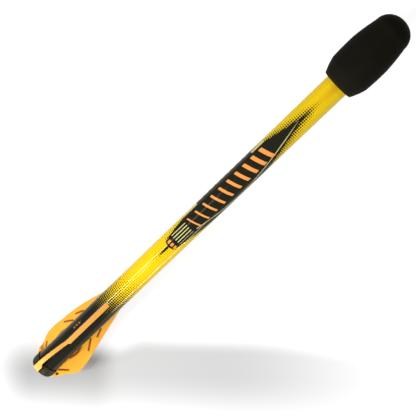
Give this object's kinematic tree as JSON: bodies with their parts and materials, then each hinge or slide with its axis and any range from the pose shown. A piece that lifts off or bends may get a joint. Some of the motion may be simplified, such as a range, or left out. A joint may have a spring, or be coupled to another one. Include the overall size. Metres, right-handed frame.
{
  "type": "soft training javelin",
  "caption": "Soft training javelin with a foam nose, a straight plastic tube and foam tail fins bent to make it spin.",
  "frame": {"origin": "on the javelin's axis, at the centre of the tail cap's flat end", "axes": "+X along the javelin from tail to nose, +Z from the axis along the top fin, +Y to the side that the top fin's rear half is bent towards"},
  "size_m": [0.6684, 0.0701, 0.0693],
  "materials": {
    "black_foam": "matte closed-cell foam",
    "orange_foam": "matte closed-cell foam sheet",
    "printed_film": "glossy printed film",
    "black_plastic": "moulded, half matte",
    "grey_plastic": "extruded and moulded, plain",
    "bare_steel": "turned bar"
  },
  "bodies": {
    "root": {"foam_nose": "black_foam", "nose_plug": "grey_plastic", "ballast_slug": "bare_steel", "slug_retainer": "grey_plastic", "tube": "grey_plastic", "printed_sleeve": "printed_film", "fin_core": "grey_plastic", "fin_top": "orange_foam", "fin_right": "orange_foam", "fin_left": "orange_foam", "end_cap": "black_plastic", "heel_pin_top": "black_plastic", "heel_pin_right": "black_plastic", "heel_pin_left": "black_plastic"}
  },
  "joints": []
}
